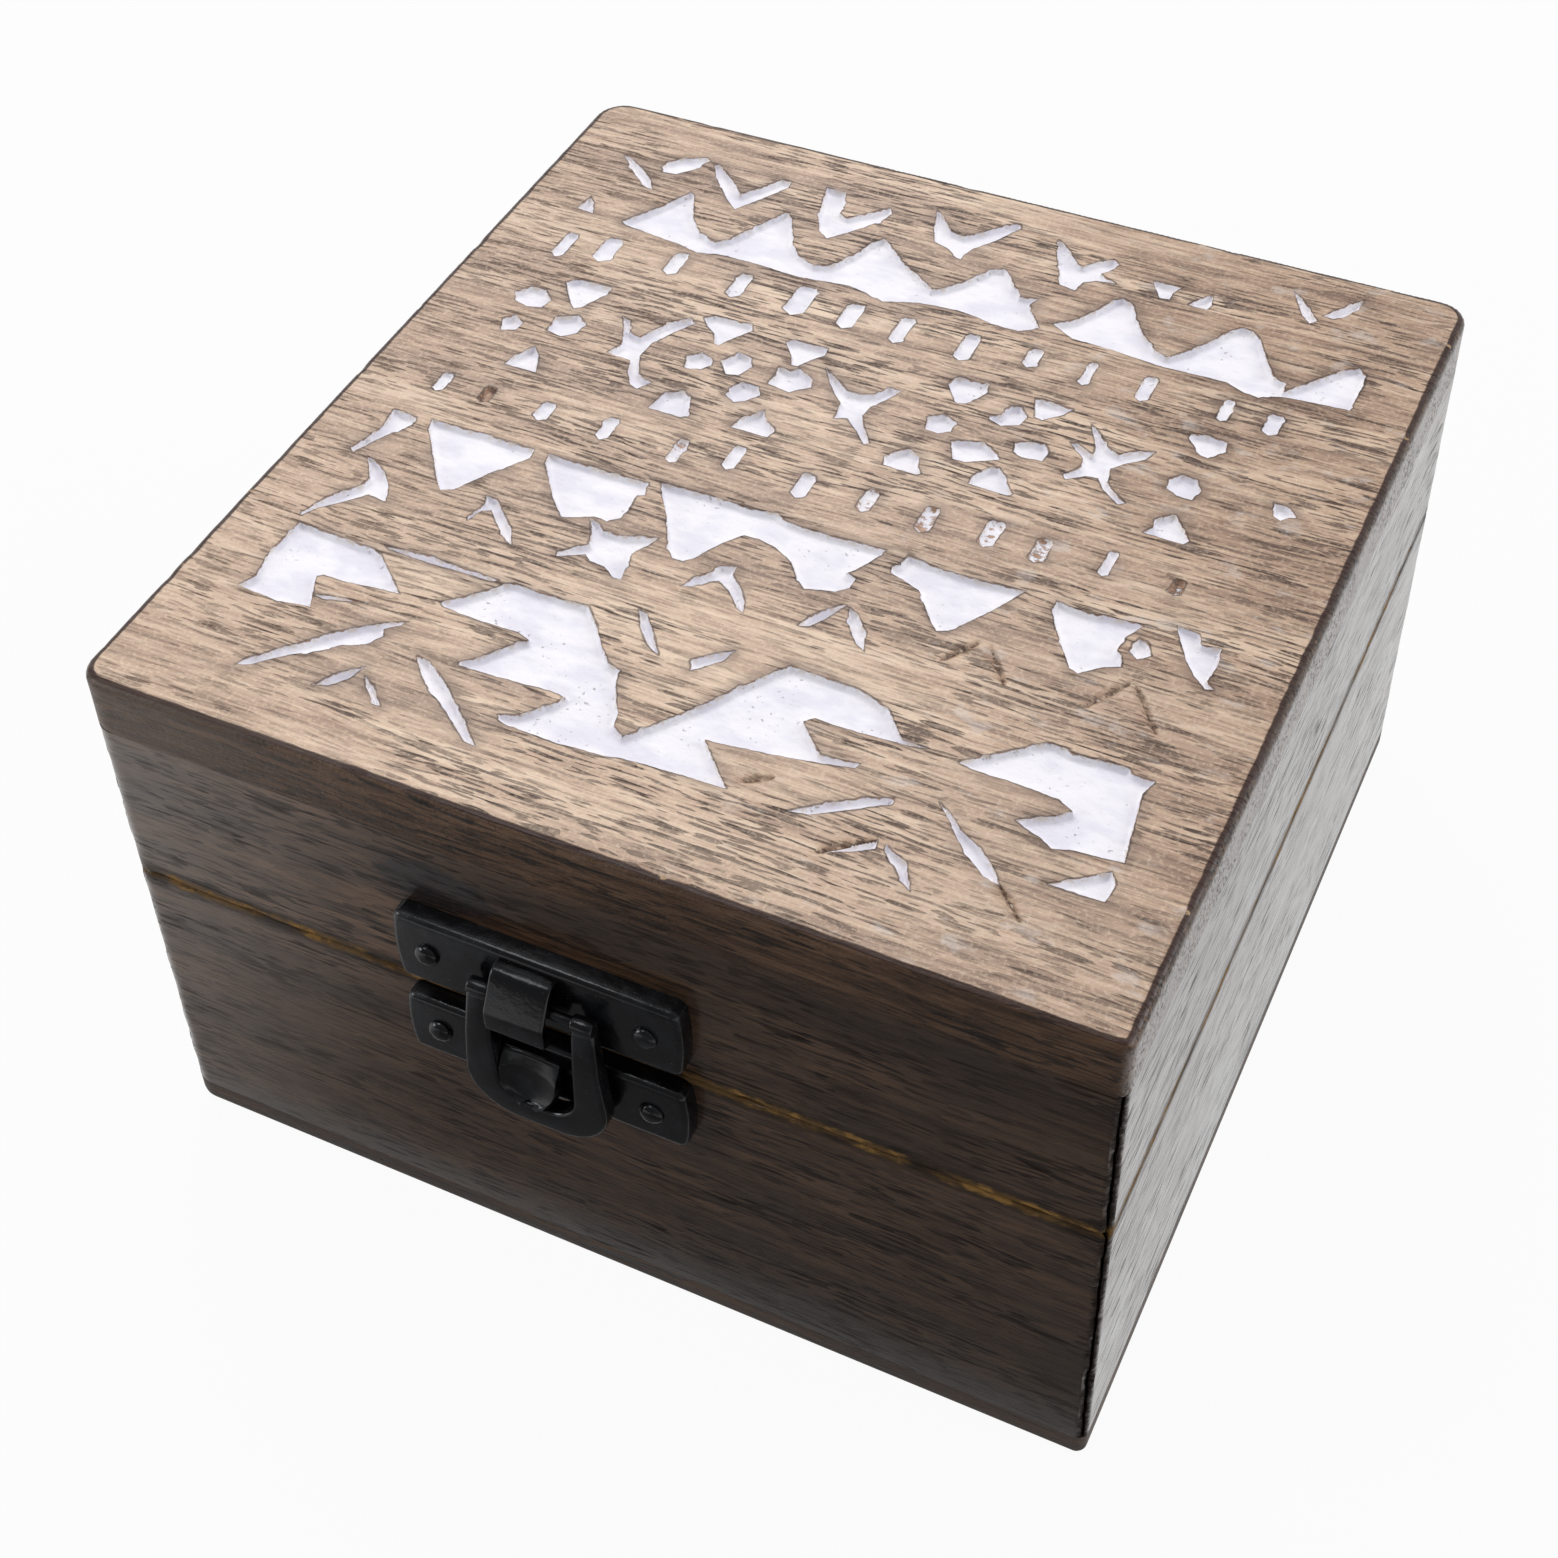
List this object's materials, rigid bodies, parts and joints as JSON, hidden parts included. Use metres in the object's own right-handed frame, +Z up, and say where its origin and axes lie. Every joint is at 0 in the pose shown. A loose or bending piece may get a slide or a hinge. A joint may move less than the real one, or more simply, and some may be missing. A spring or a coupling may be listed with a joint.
{
  "type": "hinged wooden box",
  "caption": "Small square wooden keepsake box with a flat chip-carved lid, mitred walls, a black swinging ring hasp on the front and butt hinges at the back.",
  "frame": {"origin": "centre of the box's flat underside, where it rests", "axes": "+Z up out of the box, +X to the right along the front, -Y towards the front with the hasp"},
  "size_m": [0.1, 0.1116, 0.063],
  "materials": {
    "top_wood": "light brown waxed board, open pores",
    "wall_wood": "brown waxed wood, matt",
    "bottom_wood": "brown waxed wood, matt",
    "black_steel": "black gloss paint"
  },
  "bodies": {
    "base": {"bottom_board": "bottom_wood", "base_front_wall": "wall_wood", "base_back_wall": "wall_wood", "base_left_wall": "wall_wood", "base_right_wall": "wall_wood", "strike_plate": "black_steel", "strike_plate_pin_left": "black_steel", "strike_plate_pin_right": "black_steel", "left_hinge_base_leaf": "black_steel", "left_hinge_pin": "black_steel", "left_hinge_base_nail_a": "black_steel", "left_hinge_base_nail_b": "black_steel", "right_hinge_base_leaf": "black_steel", "right_hinge_pin": "black_steel", "right_hinge_base_nail_a": "black_steel", "right_hinge_base_nail_b": "black_steel"},
    "lid": {"lid_top_board": "top_wood", "lid_front_wall": "wall_wood", "lid_back_wall": "wall_wood", "lid_left_wall": "wall_wood", "lid_right_wall": "wall_wood", "hasp_plate": "black_steel", "hasp_plate_pin_left": "black_steel", "hasp_plate_pin_right": "black_steel", "left_hinge_lid_leaf": "black_steel", "left_hinge_lid_nail_a": "black_steel", "left_hinge_lid_nail_b": "black_steel", "right_hinge_lid_leaf": "black_steel", "right_hinge_lid_nail_a": "black_steel", "right_hinge_lid_nail_b": "black_steel"},
    "hasp": {"hasp_ring": "black_steel"}
  },
  "joints": [
    {"name": "lid_hinge", "type": "hinge", "parent": "base", "child": "lid", "pos_m": [0, 0.0533, 0.03715], "axis": [-1, 0, 0], "range_deg": [0, 180]},
    {"name": "hasp_swing", "type": "hinge", "parent": "lid", "child": "hasp", "pos_m": [-0.0033, -0.05475, 0.044], "axis": [-1, 0, 0], "range_deg": [0, 165]}
  ]
}
